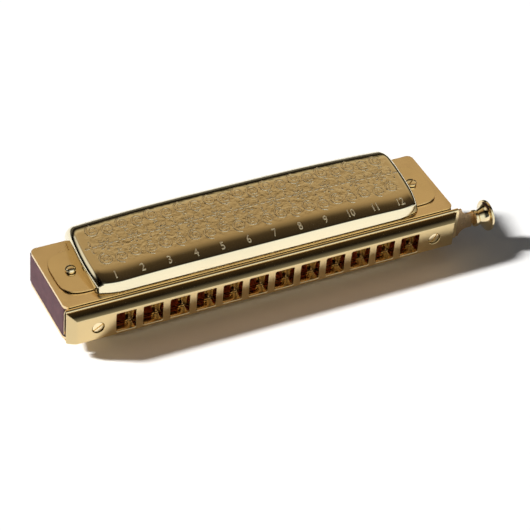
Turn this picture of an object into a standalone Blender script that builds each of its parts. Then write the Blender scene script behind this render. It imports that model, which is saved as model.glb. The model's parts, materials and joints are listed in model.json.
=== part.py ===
# Twelve-hole chromatic harmonica with a sprung slide.
# Modelled in the instrument's own axes: X along the holes towards the button,
# Y from the lips to the back, Z up from the middle of the comb. One empty then
# lays it down on the flat of its lower cover, as it lies on a table.
import math

import bmesh
import bpy
from mathutils import Matrix, Vector

for old in list(bpy.data.objects):
    bpy.data.objects.remove(old, do_unlink=True)

mm = 0.001

# Gap between pieces that touch
seat = 0.3 * mm

# Playing holes
hole_count = 12
hole_pitch = 9.4 * mm
hole_width = 6.8 * mm
hole_height = 7.6 * mm
hole_corner = 0.5 * mm

# Mouthpiece
mouth_depth = 3.45 * mm
mouth_face_height = 9.4 * mm
mouth_back_height = 12.66 * mm
mouth_end_bevel = 2.45 * mm
mouth_overlap = 0.3 * mm
mouth_edge_round = 0.45 * mm

# Slide and the plates around it
channel_thickness = 0.3 * mm
channel_lead = 1.2 * mm
slide_thickness = 0.8 * mm
slide_height = 11.4 * mm
slide_window_width = 5.2 * mm
slide_window_height = 4.6 * mm
window_corner = 0.6 * mm
row_gap = 0.8 * mm
shoulder_reach = 5.8 * mm
shoulder_radius = 3.3 * mm
tongue_height = 6.1 * mm
tongue_reach = 7.6 * mm
tang_height = 3.2 * mm
tang_length = 3.6 * mm
backplate_thickness = 0.35 * mm
backplate_height = 11.2 * mm
port_width = 3.8 * mm
port_height = 4.0 * mm

# Comb
end_margin = 19.1 * mm
comb_thickness = 11.3 * mm
comb_depth = 30.05 * mm
septum = 1.5 * mm
chamber_width = 7.4 * mm
chamber_start = 2.9 * mm
chamber_corner = 1.0 * mm

# Reed plates
plate_thickness = 1.05 * mm
plate_lead = 0.74 * mm
plate_corner = 2.0 * mm
slot_start = 5.4 * mm
slot_longest = 16.5 * mm
slot_shortest = 8.5 * mm
slot_width = 2.2 * mm
slot_offset = 1.8 * mm
reed_side_play = 0.2 * mm
reed_thickness = 0.16 * mm
reed_lift = 0.1 * mm
rivet_pad_length = 2.1 * mm
rivet_pad_width = 2.6 * mm
rivet_pad_height = 0.5 * mm
valve_count = 10
valve_thickness = 0.2 * mm
valve_cover = 0.25 * mm

# Covers
cover_sheet = 0.45 * mm
cover_setback = 0.49 * mm
crease_height = 3.95 * mm
crease_lean = 0.75 * mm
shoulder_depth = 7.2 * mm
shoulder_rise = 2.23 * mm
field_slope = math.radians(10.2)
rear_radius = 8.0 * mm
rear_overhang = 2.23 * mm
rear_turn = math.radians(50)
rear_roll = 1.0 * mm
rear_lip = 0.35 * mm
cover_reach = 7.9 * mm
cover_arch = 0.9 * mm
cover_arch_run = 32.0 * mm
cover_rear_arch = 1.6 * mm
cover_rear_arch_run = 45.0 * mm
cover_pinch = 1.9 * mm
cover_pinch_run = 10.0 * mm
cover_end_bow = 1.3 * mm
cover_bow_run = 22.0 * mm
cover_corner = 0.9 * mm
tab_setback = 2.0 * mm
tab_width = 20.5 * mm
tab_middle = 14.15 * mm
tab_power = 3.5

# Fasteners
mouth_screw_offset = 9.6 * mm
mouth_screw_head = 3.7 * mm
mouth_screw_head_height = 1.5 * mm
mouth_screw_sink = 0.2 * mm
mouth_screw_shank = 1.6 * mm
mouth_screw_bite = 8.0 * mm
bumper_wall = 0.4 * mm
cover_screw_offset = 10.9 * mm
cover_screw_depth = 14.65 * mm
cover_screw_head = 3.7 * mm
cover_screw_head_height = 0.9 * mm
cover_screw_shank = 2.0 * mm
cover_nut_height = 1.4 * mm
nail_head = 2.2 * mm
nail_head_height = 0.35 * mm
nail_shank = 1.0 * mm
nail_length = 4.4 * mm

# Button
button_ring = 5.8 * mm
button_ring_length = 1.2 * mm
button_waist = 4.6 * mm
button_bell = 10.8 * mm
button_length = 5.6 * mm
button_crown = 0.45 * mm

# Return spring
spring_wire = 0.6 * mm
spring_coil = 4.8 * mm
spring_rise = 1.2 * mm
spring_level = -3.4 * mm
spring_hook_offset = 14.3 * mm
spring_leg_length = 6.0 * mm

# Levels that follow, front to back
channel_front = mouth_depth + seat
channel_back = channel_front + channel_thickness
slide_front = channel_back + seat
slide_back = slide_front + slide_thickness
backplate_front = slide_back + seat
backplate_back = backplate_front + backplate_thickness
comb_front = backplate_back + seat
comb_rear = comb_front + comb_depth
plate_front = comb_front - plate_lead
slide_middle = (slide_front + slide_back) / 2

# Levels that follow, middle to top
comb_top = comb_thickness / 2
plate_bottom = comb_top + seat
plate_top = plate_bottom + plate_thickness
cover_base = plate_top + seat
cover_rim = cover_base + 0.05 * mm
tab_top = cover_base + cover_sheet

# Places that follow along the instrument
last_hole = (hole_count - 1) * hole_pitch / 2
comb_end = last_hole + end_margin
mouth_end = comb_end + mouth_overlap
travel = hole_pitch / 2
channel_end = mouth_end + channel_lead
slide_start = -(mouth_end - travel - seat)
tongue_root = mouth_end + shoulder_reach
tongue_end = mouth_end + tongue_reach
button_start = tongue_end + seat
mouth_screw_x = last_hole + mouth_screw_offset
cover_screw_x = last_hole + cover_screw_offset
cover_screw_y = comb_front + cover_screw_depth
cover_end = last_hole + cover_reach
tab_end = comb_end - tab_setback
row_low = row_gap / 2
port_low = row_low + (slide_window_height - port_height) / 2
spring_hook_x = last_hole + spring_hook_offset


def hole_x(index):
    return (index - (hole_count - 1) / 2) * hole_pitch


def slot_length(index):
    share = index / (hole_count - 1)
    return slot_longest + (slot_shortest - slot_longest) * share


# The whole instrument lies on the flat of its lower cover
cover_front = plate_front + cover_setback
crease = Vector((cover_front + crease_lean, cover_rim + crease_height))
field_start = crease + Vector((shoulder_depth, shoulder_rise))
rear_centre_y = comb_rear + rear_overhang - rear_radius
field_end_y = rear_centre_y - rear_radius * math.sin(field_slope)
field_length = (field_end_y - field_start.x) / math.cos(field_slope)
field_end = field_start + field_length * Vector((math.cos(field_slope), math.sin(field_slope)))
rest_point = (field_start + field_end) / 2

rest = bpy.data.objects.new("rest", None)
bpy.context.scene.collection.objects.link(rest)
turn = Matrix.Rotation(field_slope, 4, "X")
rest.rotation_euler = (field_slope, 0, 0)
rest.location = -(turn @ Vector((0, rest_point.x, -rest_point.y)))

# Colour, metallic value and roughness of each kind of surface
bright_plate = ((0.80, 0.66, 0.46, 1), 1.0, 0.16)
mouth_plate = ((0.82, 0.67, 0.44, 1), 1.0, 0.12)
reed_brass = ((0.72, 0.55, 0.33, 1), 1.0, 0.28)
sheet_gold = ((0.86, 0.66, 0.36, 1), 1.0, 0.22)
slide_metal = ((0.80, 0.70, 0.55, 1), 1.0, 0.2)
stained_wood = ((0.20, 0.09, 0.10, 1), 0.0, 0.55)
clear_valve = ((0.78, 0.72, 0.58, 1), 0.0, 0.4)
soft_rubber = ((0.05, 0.05, 0.05, 1), 0.0, 0.8)
spring_steel = ((0.60, 0.58, 0.55, 1), 1.0, 0.3)


def paint(thing, look):
    colour, metallic, roughness = look
    material = bpy.data.materials.new(thing.name)
    material.use_nodes = True
    surface = material.node_tree.nodes["Principled BSDF"]
    surface.inputs["Base Color"].default_value = colour
    surface.inputs["Metallic"].default_value = metallic
    surface.inputs["Roughness"].default_value = roughness
    material.diffuse_color = colour
    thing.data.materials.append(material)


def settle(name, bm, smooth=True):
    """Make an object in the instrument's frame from what bm holds."""
    bmesh.ops.recalc_face_normals(bm, faces=bm.faces)
    mesh = bpy.data.meshes.new(name)
    bm.to_mesh(mesh)
    bm.free()
    if smooth:
        mesh.shade_smooth()
        mesh.set_sharp_from_angle(angle=math.radians(35))
    thing = bpy.data.objects.new(name, mesh)
    bpy.context.scene.collection.objects.link(thing)
    thing.parent = rest
    return thing


def piece(name, bm, look, smooth=True):
    thing = settle(name, bm, smooth)
    paint(thing, look)
    return thing


def guide(name, bm):
    """A shape that only cuts or joins another."""
    thing = settle(name, bm, smooth=False)
    thing.hide_render = True
    thing.display_type = "WIRE"
    return thing


def combine(thing, other, how="DIFFERENCE"):
    step = thing.modifiers.new(other.name, "BOOLEAN")
    step.operation = how
    step.object = other
    step.solver = "EXACT"


def rounded(low_a, high_a, low_b, high_b, radius, steps=3):
    """Outline of a rectangle with round corners."""
    outline = []
    corners = (
        (high_a - radius, high_b - radius, 0),
        (low_a + radius, high_b - radius, 90),
        (low_a + radius, low_b + radius, 180),
        (high_a - radius, low_b + radius, 270),
    )
    for centre_a, centre_b, start in corners:
        for step in range(steps + 1):
            angle = math.radians(start + 90 * step / steps)
            point_a = centre_a + radius * math.cos(angle)
            point_b = centre_b + radius * math.sin(angle)
            outline.append((point_a, point_b))
    return outline


def plain(low_a, high_a, low_b, high_b):
    return [(low_a, low_b), (high_a, low_b), (high_a, high_b), (low_a, high_b)]


def prism(bm, outline, axis, low, high):
    """Extrude an outline along x (from yz), y (from xz) or z (from xy)."""
    place = {
        "x": lambda a, b: (low, a, b),
        "y": lambda a, b: (a, low, b),
        "z": lambda a, b: (a, b, low),
    }[axis]
    base = bm.faces.new([bm.verts.new(place(a, b)) for a, b in outline])
    grown = bmesh.ops.extrude_face_region(bm, geom=[base])
    moved = [item for item in grown["geom"] if isinstance(item, bmesh.types.BMVert)]
    shift = Vector([high - low if axis == letter else 0 for letter in "xyz"])
    bmesh.ops.translate(bm, verts=moved, vec=shift)


def turned(bm, profile, centre, axis, steps=18):
    """Spin (along, radius) points about an axis through centre."""
    along = Vector([1 if axis == letter else 0 for letter in "xyz"])
    across = Vector((0, 0, 1)) if axis != "z" else Vector((1, 0, 0))
    ring = [bm.verts.new(Vector(centre) + along * far + across * out) for far, out in profile]
    edges = [bm.edges.new(pair) for pair in zip(ring, ring[1:])]
    bmesh.ops.spin(
        bm,
        geom=ring + edges,
        cent=centre,
        axis=along,
        angle=math.tau,
        steps=steps,
        use_merge=True,
    )
    bmesh.ops.remove_doubles(bm, verts=bm.verts, dist=1e-6)


def rod(bm, centre, axis, low, high, radius, steps=12):
    """A round bar or hole through centre, from low to high along its axis."""
    turned(bm, [(low, 0), (low, radius), (high, radius), (high, 0)], centre, axis, steps)


def ends():
    return (-1, 1)


# Mouthpiece: a bar whose top, bottom and ends slope in towards the lips
bm = bmesh.new()
front = plain(
    -mouth_end + mouth_end_bevel,
    mouth_end - mouth_end_bevel,
    -mouth_face_height / 2,
    mouth_face_height / 2,
)
back = plain(-mouth_end, mouth_end, -mouth_back_height / 2, mouth_back_height / 2)
front_ring = [bm.verts.new((a, 0, b)) for a, b in front]
back_ring = [bm.verts.new((a, mouth_depth, b)) for a, b in back]
front_face = bm.faces.new(front_ring)
back_face = bm.faces.new(back_ring)
bmesh.ops.bridge_loops(bm, edges=list(front_face.edges) + list(back_face.edges))
bmesh.ops.recalc_face_normals(bm, faces=bm.faces)
bmesh.ops.bevel(
    bm,
    geom=[edge for edge in bm.edges if edge not in set(back_face.edges)],
    offset=mouth_edge_round,
    offset_type="OFFSET",
    segments=3,
    profile=0.5,
    affect="EDGES",
)
mouthpiece = piece("mouthpiece", bm, mouth_plate)

# Playing holes, shared by the mouthpiece and the channel behind it
bm = bmesh.new()
for index in range(hole_count):
    middle = hole_x(index)
    outline = rounded(
        middle - hole_width / 2,
        middle + hole_width / 2,
        -hole_height / 2,
        hole_height / 2,
        hole_corner,
        1,
    )
    prism(bm, outline, "y", -1 * mm, slide_front)
hole_cutter = guide("hole_cutter", bm)
combine(mouthpiece, hole_cutter)

# Ways for the two mouthpiece screws, with a sunk seat for their heads
shank_way = mouth_screw_shank / 2 + seat
head_way = mouth_screw_head / 2 + seat
head_seat = mouth_screw_sink + mouth_screw_head_height + seat
screw_tip = comb_front + mouth_screw_bite
bm = bmesh.new()
for side in ends():
    steps = [
        (-1 * mm, 0),
        (-1 * mm, head_way),
        (head_seat, head_way),
        (head_seat, shank_way),
        (screw_tip + seat, shank_way),
        (screw_tip + seat, 0),
    ]
    turned(bm, steps, (side * mouth_screw_x, 0, 0), "y")
mouth_screw_ways = guide("mouth_screw_ways", bm)
combine(mouthpiece, mouth_screw_ways)

for side, word in zip(ends(), ("left", "right")):
    bm = bmesh.new()
    head_front = mouth_screw_sink
    head_back = mouth_screw_sink + mouth_screw_head_height
    head_radius = mouth_screw_head / 2
    shank_radius = mouth_screw_shank / 2
    profile = [
        (head_front, 0),
        (head_front, head_radius - 0.3 * mm),
        (head_front + 0.25 * mm, head_radius),
        (head_back, head_radius),
        (head_back, shank_radius),
        (screw_tip - 0.8 * mm, shank_radius),
        (screw_tip, shank_radius / 3),
        (screw_tip, 0),
    ]
    turned(bm, profile, (side * mouth_screw_x, 0, 0), "y")
    piece("mouthpiece_screw_" + word, bm, bright_plate)

# Channel: a folded strip whose lips run back along the slide's edges
bm = bmesh.new()
lip_outer = mouth_back_height / 2
lip_inner = lip_outer - channel_thickness
lip_back = plate_front - seat
section = [
    (channel_front, -lip_outer),
    (lip_back, -lip_outer),
    (lip_back, -lip_inner),
    (channel_back, -lip_inner),
    (channel_back, lip_inner),
    (lip_back, lip_inner),
    (lip_back, lip_outer),
    (channel_front, lip_outer),
]
prism(bm, section, "x", -comb_end, channel_end)
channel = piece("slide_channel", bm, sheet_gold)
combine(channel, hole_cutter)
combine(channel, mouth_screw_ways)

# Slide: two rows of windows half a pitch apart, and a necked tongue
half = slide_height / 2
neck = tongue_height / 2
tang = tang_height / 2
fillet_z = neck + shoulder_radius
first_angle = math.asin((fillet_z - half) / shoulder_radius)
upper_edge = []
fillet_steps = 8
for step in range(fillet_steps + 1):
    angle = first_angle + (math.pi / 2 - first_angle) * step / fillet_steps
    edge_x = tongue_root - shoulder_radius * math.cos(angle)
    edge_z = fillet_z - shoulder_radius * math.sin(angle)
    upper_edge.append((edge_x, edge_z))
upper_edge.append((tongue_end, neck))
upper_edge.append((tongue_end, tang))
upper_edge.append((tongue_end + tang_length - 0.4 * mm, tang))
upper_edge.append((tongue_end + tang_length, tang - 0.4 * mm))
corner = 1.0 * mm
upper_edge.insert(0, (slide_start + corner, half))
upper_edge.insert(0, (slide_start + 0.3 * corner, half - 0.3 * corner))
upper_edge.insert(0, (slide_start, half - corner))
lower_edge = [(a, -b) for a, b in reversed(upper_edge)]
bm = bmesh.new()
prism(bm, upper_edge + lower_edge, "y", slide_front, slide_back)
slide = piece("slide", bm, slide_metal)

bumper_inner = mouth_screw_shank / 2 + seat
bumper_outer = bumper_inner + bumper_wall
slot_half = bumper_outer + seat
bm = bmesh.new()
for index in range(hole_count):
    for row in (1, -1):
        middle = hole_x(index)
        if row > 0:
            middle += travel
        low = row_low if row > 0 else -row_low - slide_window_height
        outline = rounded(
            middle - slide_window_width / 2,
            middle + slide_window_width / 2,
            low,
            low + slide_window_height,
            window_corner,
            1,
        )
        prism(bm, outline, "y", slide_front - 1 * mm, slide_back + 1 * mm)
for side in ends():
    at = side * mouth_screw_x
    outline = rounded(
        at - slot_half,
        at + travel + slot_half,
        -slot_half,
        slot_half,
        slot_half * 0.98,
        6,
    )
    prism(bm, outline, "y", slide_front - 1 * mm, slide_back + 1 * mm)
hook_way = spring_wire / 2 + seat
rod(bm, (spring_hook_x, 0, spring_level), "y", slide_front - 1 * mm, slide_back + 1 * mm, hook_way)
slide_windows = guide("slide_windows", bm)
combine(slide, slide_windows)

for side, word in zip(ends(), ("left", "right")):
    bm = bmesh.new()
    profile = [
        (slide_front, bumper_inner),
        (slide_front, bumper_outer),
        (slide_back, bumper_outer),
        (slide_back, bumper_inner),
        (slide_front, bumper_inner),
    ]
    turned(bm, profile, (side * mouth_screw_x, 0, 0), "y")
    piece("slide_bumper_" + word, bm, soft_rubber)

# Plate of ports between the slide and the comb
chamber_front = comb_front + chamber_start
bm = bmesh.new()
outline = rounded(-comb_end, comb_end, -backplate_height / 2, backplate_height / 2, 1 * mm)
prism(bm, outline, "y", backplate_front, backplate_back)
backplate = piece("slide_backplate", bm, sheet_gold)
bm = bmesh.new()
for index in range(hole_count):
    for row in (1, -1):
        low = port_low if row > 0 else -port_low - port_height
        outline = plain(
            hole_x(index) - port_width / 2,
            hole_x(index) + port_width / 2,
            low,
            low + port_height,
        )
        prism(bm, outline, "y", backplate_front - 1 * mm, chamber_front + 1 * mm)
ports = guide("ports", bm)
combine(backplate, ports)
combine(backplate, mouth_screw_ways)
bm = bmesh.new()
hook_slot_start = spring_hook_x - travel - hook_way
outline = rounded(
    hook_slot_start,
    spring_hook_x + hook_way,
    spring_level - hook_way,
    spring_level + hook_way,
    hook_way * 0.9,
)
prism(bm, outline, "y", backplate_front - 1 * mm, backplate_back + 1 * mm)
hook_slot = guide("hook_slot", bm)
combine(backplate, hook_slot)

# Comb: a wooden core with an upper and a lower chamber behind each hole
bm = bmesh.new()
outline = rounded(-comb_end, comb_end, comb_front, comb_rear, 0.8 * mm, 2)
prism(bm, outline, "z", -comb_top, comb_top)
comb = piece("comb", bm, stained_wood)
bm = bmesh.new()
for index in range(hole_count):
    for row in (1, -1):
        chamber_rear = comb_front + slot_start + slot_length(index) + rivet_pad_length + 1.1 * mm
        outline = rounded(
            hole_x(index) - chamber_width / 2,
            hole_x(index) + chamber_width / 2,
            chamber_front,
            chamber_rear,
            chamber_corner,
            1,
        )
        near = row * septum / 2
        far = row * (comb_top + 1 * mm)
        prism(bm, outline, "z", min(near, far), max(near, far))
chambers = guide("chambers", bm)
combine(comb, chambers)
combine(comb, ports)
combine(comb, mouth_screw_ways)

# Pocket for the return spring at the button end
coil_radius = spring_coil / 2
coil_y = comb_front + spring_leg_length + coil_radius
coil_x = spring_hook_x + 0.6 * mm
pocket_half = (spring_rise + spring_wire) / 2 + 2 * seat
bm = bmesh.new()
pocket_back = coil_y + coil_radius + spring_wire / 2 + 2 * seat
pocket_end = coil_x + coil_radius + spring_wire / 2 + 2 * seat
outline = rounded(
    hook_slot_start - seat,
    pocket_end,
    comb_front - 4 * mm,
    pocket_back,
    coil_radius,
    4,
)
prism(bm, outline, "z", spring_level - pocket_half, spring_level + pocket_half)
spring_pocket = guide("spring_pocket", bm)
combine(comb, spring_pocket)

# Return spring: a fixed leg, a coil of a turn and a half, and a leg to the slide
points = []
low_level = spring_level - spring_rise / 2
high_level = spring_level + spring_rise / 2
leg_start = comb_front + 1.6 * mm
for step in range(4):
    points.append((coil_x + coil_radius, leg_start + (coil_y - leg_start) * step / 4, low_level))
coil_steps = 30
for step in range(coil_steps + 1):
    share = step / coil_steps
    angle = 3 * math.pi * share
    level = low_level + (high_level - low_level) * share
    across = coil_x + coil_radius * math.cos(angle)
    points.append((across, coil_y + coil_radius * math.sin(angle), level))
leg_steps = 10
leg_end = slide_middle - slide_thickness / 4
for step in range(1, leg_steps + 1):
    share = step / leg_steps
    ease = share * share * (3 - 2 * share)
    across = coil_x - coil_radius + (spring_hook_x - coil_x + coil_radius) * ease
    level = high_level + (spring_level - high_level) * ease
    points.append((across, coil_y + (leg_end - coil_y) * share, level))
line = bpy.data.curves.new("return_spring", "CURVE")
line.dimensions = "3D"
line.bevel_depth = spring_wire / 2
line.bevel_resolution = 1
line.use_fill_caps = True
spline = line.splines.new("POLY")
spline.points.add(len(points) - 1)
for target, point in zip(spline.points, points):
    target.co = (*point, 1)
spring = bpy.data.objects.new("return_spring", line)
bpy.context.scene.collection.objects.link(spring)
spring.parent = rest
paint(spring, spring_steel)

# Ways for the through screws of the covers
bm = bmesh.new()
through = cover_base + 6 * mm
for side in ends():
    place = (side * cover_screw_x, cover_screw_y, 0)
    rod(bm, place, "z", -through, through, cover_screw_shank / 2 + seat)
cover_screw_ways = guide("cover_screw_ways", bm)
combine(comb, cover_screw_ways)

# Nails that hold the reed plates to the comb's solid ends and back rail
nail_places = []
for side in ends():
    end_x = side * (last_hole + chamber_width / 2 + 1.9 * mm)
    nail_places.append((end_x, comb_front + 5.4 * mm))
    nail_places.append((end_x, comb_rear - 6.0 * mm))
    nail_places.append((side * 2 * hole_pitch, comb_rear - 2.2 * mm))
bm = bmesh.new()
for place_x, place_y in nail_places:
    for row in (1, -1):
        shallow = row * (plate_top + 1 * mm)
        deep = row * (cover_base - nail_length - seat)
        way = nail_shank / 2 + seat
        rod(bm, (place_x, place_y, 0), "z", min(shallow, deep), max(shallow, deep), way, 8)
nail_ways = guide("nail_ways", bm)
combine(comb, nail_ways)
for row, word in ((1, "upper"), (-1, "lower")):
    for number, (place_x, place_y) in enumerate(nail_places, 1):
        bm = bmesh.new()
        under = row * cover_base
        over = row * (cover_base + nail_head_height)
        tip = row * (cover_base - nail_length)
        profile = [
            (over, 0),
            (over, nail_head / 2),
            (under, nail_head / 2),
            (under, nail_shank / 2),
            (tip + row * 0.6 * mm, nail_shank / 2),
            (tip, 0),
        ]
        turned(bm, profile, (place_x, place_y, 0), "z", 8)
        piece("plate_nail_%s_%d" % (word, number), bm, reed_brass)

# Reed plates. Behind each hole a blow reed hangs on the inner face and a draw
# reed on the outer one, each riveted at one end of its own slot.
reed_width = slot_width - 2 * reed_side_play
bite = 0.1 * mm
for row, word in ((1, "upper"), (-1, "lower")):
    bm = bmesh.new()
    outline = rounded(-comb_end, comb_end, plate_front, comb_rear, plate_corner, 5)
    faces = sorted((row * plate_bottom, row * plate_top))
    prism(bm, outline, "z", *faces)
    plate = piece("reed_plate_" + word, bm, reed_brass)

    bm = bmesh.new()
    for index in range(hole_count):
        for shift in (-slot_offset, slot_offset):
            middle = hole_x(index) + shift
            start = comb_front + slot_start
            outline = plain(
                middle - slot_width / 2,
                middle + slot_width / 2,
                start,
                start + slot_length(index),
            )
            prism(bm, outline, "z", faces[0] - 1 * mm, faces[1] + 1 * mm)
    slots = guide("slots_" + word, bm)
    combine(plate, slots)

    pads = bmesh.new()
    blades = bmesh.new()
    for index in range(hole_count):
        start = comb_front + slot_start
        stop = start + slot_length(index)
        for kind in ("blow", "draw"):
            outer = kind == "draw"
            surface = plate_top if outer else plate_bottom
            out = 1 if outer else -1
            middle = hole_x(index) + (slot_offset if outer else -slot_offset)
            if outer:
                pad_ends = (start - 0.2 * mm - rivet_pad_length, start - 0.2 * mm)
                blade_ends = (pad_ends[0] + 0.4 * mm, stop - 0.15 * mm)
            else:
                pad_ends = (stop + 0.2 * mm, stop + 0.2 * mm + rivet_pad_length)
                blade_ends = (start + 0.15 * mm, pad_ends[1] - 0.4 * mm)
            outline = plain(
                middle - rivet_pad_width / 2,
                middle + rivet_pad_width / 2,
                *pad_ends,
            )
            levels = sorted(
                (row * (surface - out * bite), row * (surface + out * rivet_pad_height))
            )
            prism(pads, outline, "z", *levels)
            outline = plain(middle - reed_width / 2, middle + reed_width / 2, *blade_ends)
            near = surface + out * reed_lift
            levels = sorted((row * near, row * (near + out * reed_thickness)))
            prism(blades, outline, "z", *levels)
    pad_guide = guide("rivet_pads_" + word, pads)
    blade_guide = guide("reed_blades_" + word, blades)
    combine(plate, pad_guide, "UNION")
    combine(plate, blade_guide, "UNION")
    combine(plate, cover_screw_ways)
    combine(plate, nail_ways)

    # Outer valves over the blow reeds' slots
    for index in range(valve_count):
        middle = hole_x(index) - slot_offset
        start = comb_front + slot_start - 0.6 * mm
        stop = start + slot_length(index) + 1.8 * mm
        half_width = slot_width / 2 + valve_cover
        outline = rounded(middle - half_width, middle + half_width, start, stop, half_width / 2, 1)
        bm = bmesh.new()
        levels = sorted((row * cover_base, row * (cover_base + valve_thickness)))
        prism(bm, outline, "z", *levels)
        piece("valve_%s_%02d" % (word, index + 1), bm, clear_valve)


def cover_section():
    """Points (depth, height above the base) from the front rim to the rear lip."""
    points = [Vector((cover_front, 0)), Vector((crease.x, crease_height))]
    span = field_start - crease
    chord = math.atan2(span.y, span.x)
    first = 2 * chord - field_slope
    radius = span.length / (2 * math.sin((first - field_slope) / 2))
    normal = Vector((-math.sin(field_slope), math.cos(field_slope)))
    centre = field_start - radius * normal
    steps = 5
    for step in range(1, steps + 1):
        angle = first + (field_slope - first) * step / steps
        point = centre + radius * Vector((-math.sin(angle), math.cos(angle)))
        points.append(Vector((point.x, point.y - cover_rim)))
    normal = Vector((-math.sin(field_slope), math.cos(field_slope)))
    turns = (
        (rear_radius, field_slope, -rear_turn, 6),
        (rear_roll, -rear_turn, -math.pi / 2, 2),
    )
    last = field_end
    points.append(Vector((last.x, last.y - cover_rim)))
    for radius, first, stop, steps in turns:
        centre = last - radius * Vector((-math.sin(first), math.cos(first)))
        for step in range(1, steps + 1):
            angle = first + (stop - first) * step / steps
            last = centre + radius * Vector((-math.sin(angle), math.cos(angle)))
            points.append(Vector((last.x, last.y - cover_rim)))
    points.append(points[-1] - Vector((0, rear_lip)))
    return points


def arch_drop(from_end, depth):
    """How far the cover falls away from its middle, more at the back than at the crease."""
    front = cover_arch * max(0, 1 - from_end / cover_arch_run) ** 2
    rear = cover_rear_arch * max(0, 1 - from_end / cover_rear_arch_run) ** 2
    back = min(max((depth - crease.x) / (field_end.x - crease.x), 0), 1)
    return front + (rear - front) * back


def cover_columns():
    """(place along X, drop and lean of the bend at the end) from left to right."""
    end_round = crease_height - cover_arch
    half = []
    steps = 6
    for step in range(steps + 1):
        angle = math.pi / 2 * step / steps
        drop = end_round * (1 - math.sin(angle))
        half.append((end_round * (1 - math.cos(angle)), drop, math.cos(angle)))
    reach = cover_end - end_round
    for share in (0.045, 0.12, 0.22, 0.36, 0.56):
        half.append((end_round + reach * share, 0, 0))
    left = [(from_end - cover_end, drop, lean) for from_end, drop, lean in half]
    return left + [(0, 0, 0)] + [(-place, drop, lean) for place, drop, lean in reversed(left)]


def facing(points, k):
    """Outward direction (depth, height) of the section at one of its points."""
    before, after = points[max(k - 1, 0)], points[min(k + 1, len(points) - 1)]
    along = (after - before).normalized()
    return Vector((-along.y, along.x))


def inner_shift(lean, outward, standing):
    """From the outer skin to the inner one, in sheet thicknesses, square at the corners."""
    level = 0 if standing else min(math.sqrt(1 - lean * lean), abs(outward.y))
    return Vector((-lean, -outward.x, -level))


def line_with(bm, shifts, level):
    """Give an open skin its inner side, each point moved by its own shift."""
    skins = list(bm.faces)
    rims = [edge for edge in bm.edges if len(edge.link_faces) == 1]
    inner = {}
    for vert in list(bm.verts):
        across, back, up = shifts[vert]
        spot = vert.co + Vector((
            math.copysign(across, -vert.co.x) if across else 0,
            back,
            math.copysign(up, -vert.co.z) if up else 0,
        ))
        if abs(spot.z) < level:
            spot.z = math.copysign(level, vert.co.z)
        inner[vert] = bm.verts.new(spot)
    for skin in skins:
        bm.faces.new([inner[vert] for vert in reversed(skin.verts)])
    for rim in rims:
        start, stop = rim.verts
        bm.faces.new((start, stop, inner[stop], inner[start]))
    bmesh.ops.recalc_face_normals(bm, faces=bm.faces)


section_points = cover_section()
columns = cover_columns()
mid_depth = (cover_front + comb_rear) / 2
half_depth = (comb_rear - cover_front) / 2
for row, word in ((1, "upper"), (-1, "lower")):
    bm = bmesh.new()
    grid = []
    shifts = {}
    for place, bend_drop, lean in columns:
        from_end = cover_end - abs(place)
        into_end = max(1 - from_end / cover_bow_run, 0)
        near_end = max(1 - from_end / cover_corner, 0)
        pinch = cover_pinch * max(1 - from_end / cover_pinch_run, 0) ** 2
        cut = cover_corner * (1 - math.sqrt(max(1 - near_end * near_end, 0)))
        line = []
        for k, point in enumerate(section_points):
            drop = bend_drop + arch_drop(from_end, point.x)
            if point.x <= crease.x:
                fade = 1
                height = point.y * (1 - drop / crease_height)
            else:
                fade = max(0, 1 - (point.x - crease.x) / shoulder_depth)
                height = point.y - drop
            depth = point.x + (cut + pinch) * fade
            bow = cover_end_bow * ((depth - mid_depth) / half_depth) ** 2
            along = abs(place) - bow * into_end**2
            height = max(height, 0)
            spot = (math.copysign(along, place), depth, row * (cover_rim + height))
            line.append(bm.verts.new(spot))
            shift = inner_shift(lean, facing(section_points, k), height < 0.001 * mm)
            shifts[line[-1]] = shift * cover_sheet
        grid.append(line)
    count = len(section_points)
    skins = []
    for left, right in zip(grid, grid[1:]):
        for low in range(count - 1):
            skins.append((left[low], right[low], right[low + 1], left[low + 1]))
    # Upright end walls, from the crease back to the rear lip
    for column, outward in ((grid[0], False), (grid[-1], True)):
        feet = {1: column[1]}
        for low in range(2, count - 1):
            top = column[low].co
            feet[low] = bm.verts.new((top.x, top.y, row * cover_rim))
            shifts[feet[low]] = inner_shift(1, facing(section_points, low), True) * cover_sheet
        for low in range(1, count - 2):
            corners = [column[low], column[low + 1]]
            if low == count - 3:
                corners.append(column[low + 2])
            corners.append(feet[low + 1])
            if low > 1:
                corners.append(feet[low])
            skins.append(tuple(reversed(corners) if outward else corners))
    for corners in skins:
        bm.faces.new(corners if row > 0 else tuple(reversed(corners)))
    line_with(bm, shifts, cover_rim)
    mesh = bpy.data.meshes.new("cover_" + word)
    bm.to_mesh(mesh)
    bm.free()
    mesh.shade_smooth()
    mesh.set_sharp_from_angle(angle=math.radians(35))
    cover = bpy.data.objects.new("cover_" + word, mesh)
    bpy.context.scene.collection.objects.link(cover)
    cover.parent = rest
    paint(cover, bright_plate)
    # A flat tab at each end takes the screw
    bm = bmesh.new()
    for side in ends():
        root = cover_end - 0.9 * mm
        reach = tab_end - root
        outline = []
        steps = 16
        for step in range(steps + 1):
            angle = -math.pi / 2 + math.pi * step / steps
            out = abs(math.cos(angle)) ** (2 / tab_power) if 0 < step < steps else 0
            over = math.copysign(abs(math.sin(angle)) ** (2 / tab_power), math.sin(angle))
            tab_y = comb_front + tab_middle + tab_width / 2 * over
            outline.append((side * (root + reach * out), tab_y))
        levels = sorted((row * cover_base, row * tab_top))
        prism(bm, outline, "z", *levels)
    tabs = guide("cover_tabs_" + word, bm)
    combine(cover, tabs, "UNION")
    combine(cover, cover_screw_ways)

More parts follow.
